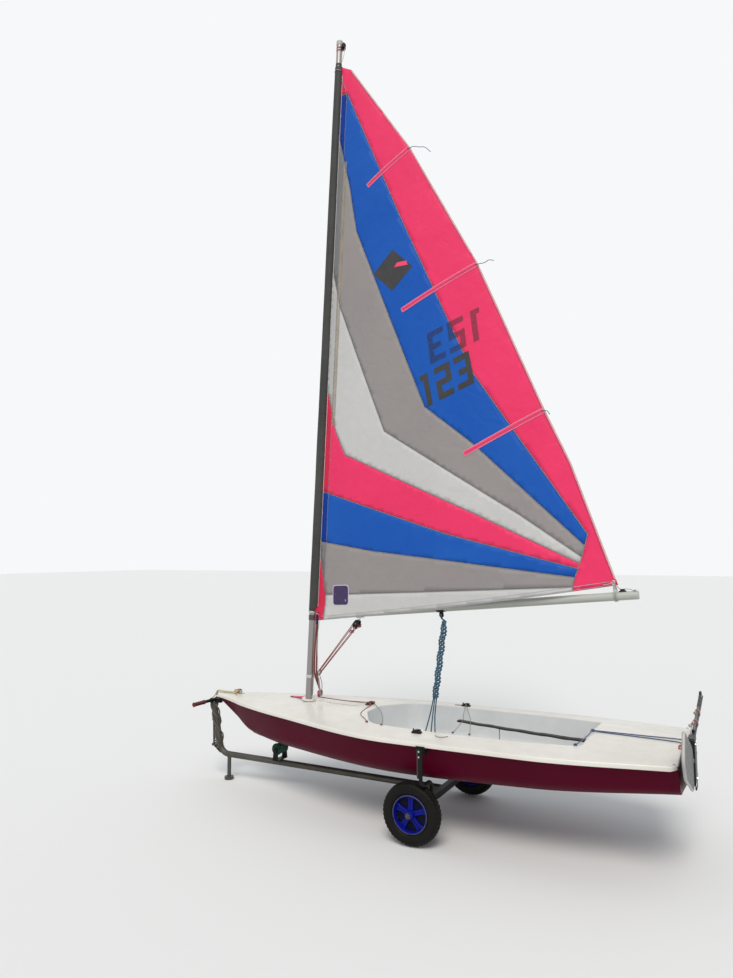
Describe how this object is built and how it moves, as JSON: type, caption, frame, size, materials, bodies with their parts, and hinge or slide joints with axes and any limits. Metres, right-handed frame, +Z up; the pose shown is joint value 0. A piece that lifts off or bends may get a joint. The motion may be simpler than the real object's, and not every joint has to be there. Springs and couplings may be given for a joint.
{
  "type": "sailing dinghy on a launching trolley",
  "caption": "Single-handed sailing dinghy with a decked hull, open cockpit, raked mast and four-colour sleeved sail, parked on its two-wheeled launching trolley.",
  "frame": {"origin": "on the floor, at the middle of the foot under the trolley's front leg", "axes": "+X towards the bow, +Y to port, +Z up along the height of the rig"},
  "size_m": [3.7959, 1.6078, 6.1834],
  "materials": {
    "hull_gelcoat": "glossy maroon moulding",
    "deck_gelcoat": "white moulding, satin",
    "spar_aluminium": "satin anodised",
    "boom_aluminium": "white anodised",
    "sleeve_cloth": "dark grey sailcloth",
    "cloth_pink": "pink sailcloth",
    "cloth_blue": "blue sailcloth",
    "cloth_grey": "grey sailcloth",
    "cloth_white": "white sailcloth",
    "webbing": "black webbing",
    "black_fittings": "black moulded fittings",
    "stainless": "stainless steel",
    "galvanised": "dull galvanised",
    "black_steel": "black painted steel",
    "pad_rubber": "black rubber",
    "grip_rubber": "red rubber grips",
    "tyre_rubber": "black tyre",
    "rim_plastic": "blue moulded rim",
    "roller_plastic": "green roller",
    "blade_white": "white rudder blade",
    "red_plastic": "red moulded block"
  },
  "bodies": {
    "root": {"hull_shell": "hull_gelcoat", "deck_moulding": "deck_gelcoat", "daggerboard_case": "deck_gelcoat", "mast_step": "deck_gelcoat", "bow_fitting": "stainless", "jam_cleats": "black_fittings", "control_cleats": "black_fittings", "sheet_base": "black_fittings", "toe_strap": "webbing", "gudgeons": "stainless", "stern_fitting": "red_plastic", "trolley_tube": "galvanised", "handle_bar": "galvanised", "handle_grips": "grip_rubber", "front_leg": "galvanised", "leg_foot": "pad_rubber", "keel_roller": "roller_plastic", "roller_bracket": "galvanised", "axle_beam": "black_steel", "axle_stubs": "stainless", "side_props": "black_steel", "gunwale_pads": "pad_rubber"},
    "rig": {"mast_lower": "spar_aluminium", "mast_upper": "spar_aluminium", "mast_head": "black_fittings", "luff_sleeve": "sleeve_cloth", "sail_pink": "cloth_pink", "sail_blue": "cloth_blue", "sail_grey": "cloth_grey", "sail_white": "cloth_white", "batten_pockets": "cloth_pink", "boom": "boom_aluminium", "boom_ends": "black_fittings", "gooseneck": "black_fittings", "mast_tang": "stainless", "boom_fittings": "black_fittings"},
    "rudder": {"rudder_head": "black_fittings", "tiller": "black_fittings", "pintles": "stainless"},
    "blade": {"rudder_blade": "blade_white"},
    "port_wheel": {"port_tyre": "tyre_rubber", "port_rim": "rim_plastic"},
    "starboard_wheel": {"starboard_tyre": "tyre_rubber", "starboard_rim": "rim_plastic"}
  },
  "joints": [
    {"name": "rig_turn", "type": "hinge", "parent": "root", "child": "rig", "pos_m": [-0.786, 0, 0.703], "axis": [-0.0506, 0, 0.9987], "range_deg": [-90, 90]},
    {"name": "rudder_steer", "type": "hinge", "parent": "root", "child": "rudder", "pos_m": [-3.575, 0, 0.576], "axis": [0, 0, 1], "range_deg": [0, 180]},
    {"name": "blade_kick", "type": "hinge", "parent": "rudder", "child": "blade", "pos_m": [-3.575, 0.075, 0.52], "axis": [-1, 0, 0], "range_deg": [0, 112]},
    {"name": "port_wheel_spin", "type": "hinge", "parent": "root", "child": "port_wheel", "pos_m": [-1.93, 0.56, 0.2], "axis": [0, 1, 0], "continuous": true},
    {"name": "starboard_wheel_spin", "type": "hinge", "parent": "root", "child": "starboard_wheel", "pos_m": [-1.93, -0.56, 0.2], "axis": [0, 1, 0], "continuous": true}
  ]
}
